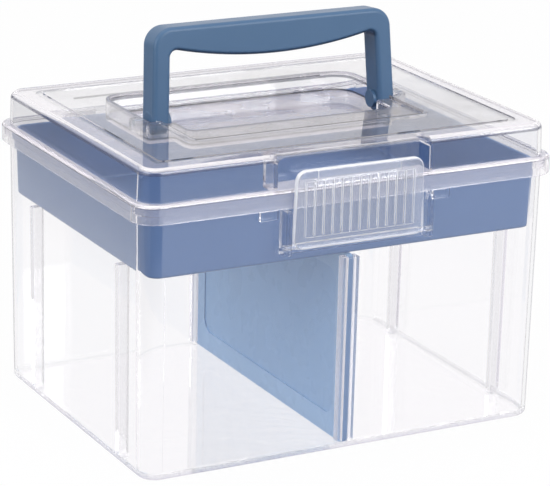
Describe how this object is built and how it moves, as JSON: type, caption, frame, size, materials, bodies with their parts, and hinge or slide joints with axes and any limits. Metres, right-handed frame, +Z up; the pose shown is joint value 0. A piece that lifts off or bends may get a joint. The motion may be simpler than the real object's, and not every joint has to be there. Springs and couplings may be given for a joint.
{
  "type": "compartment storage box",
  "caption": "Clear carry box with a hinged domed lid, folding handle, front latch, lift-out tray and a divider between two compartments.",
  "frame": {"origin": "centre of the flat underside", "axes": "+X to the right along the width, +Y to the back where the hinge is, +Z up; the latch faces -Y"},
  "size_m": [0.254, 0.2062, 0.2215],
  "materials": {
    "clear_plastic": "clear, polished",
    "blue_plastic": "slate blue, satin, opaque",
    "pale_blue_plastic": "slate blue, satin, slightly translucent",
    "frosted_plastic": "natural, frosted, translucent"
  },
  "bodies": {
    "body": {"body": "clear_plastic"},
    "lid": {"lid": "clear_plastic"},
    "tray": {"tray": "blue_plastic"},
    "divider": {"divider": "pale_blue_plastic"},
    "handle": {"handle": "blue_plastic"},
    "latch": {"latch": "frosted_plastic"}
  },
  "joints": [
    {"name": "lid_hinge", "type": "hinge", "parent": "body", "child": "lid", "pos_m": [0, 0.1015, 0.1395], "axis": [-1, 0, 0], "range_deg": [0, 105]},
    {"name": "handle_fold", "type": "hinge", "parent": "lid", "child": "handle", "pos_m": [0, 0.003, 0.1686], "axis": [-1, 0, 0], "range_deg": [-5, 85]},
    {"name": "latch_swing", "type": "hinge", "parent": "body", "child": "latch", "pos_m": [0, -0.0986, 0.1226], "axis": [1, 0, 0], "range_deg": [0, 110]},
    {"name": "tray_lift", "type": "slide", "parent": "body", "child": "tray", "axis": [0, 0, 1], "range_m": [0, 0.0452]},
    {"name": "divider_lift", "type": "slide", "parent": "body", "child": "divider", "axis": [0, 0, 1], "range_m": [0, 0.0402]}
  ],
  "couplings": [
    {"joint": "tray_lift", "follows": "lid_hinge", "m_per_rad": 0.02456},
    {"joint": "divider_lift", "follows": "lid_hinge", "m_per_rad": 0.02183}
  ]
}
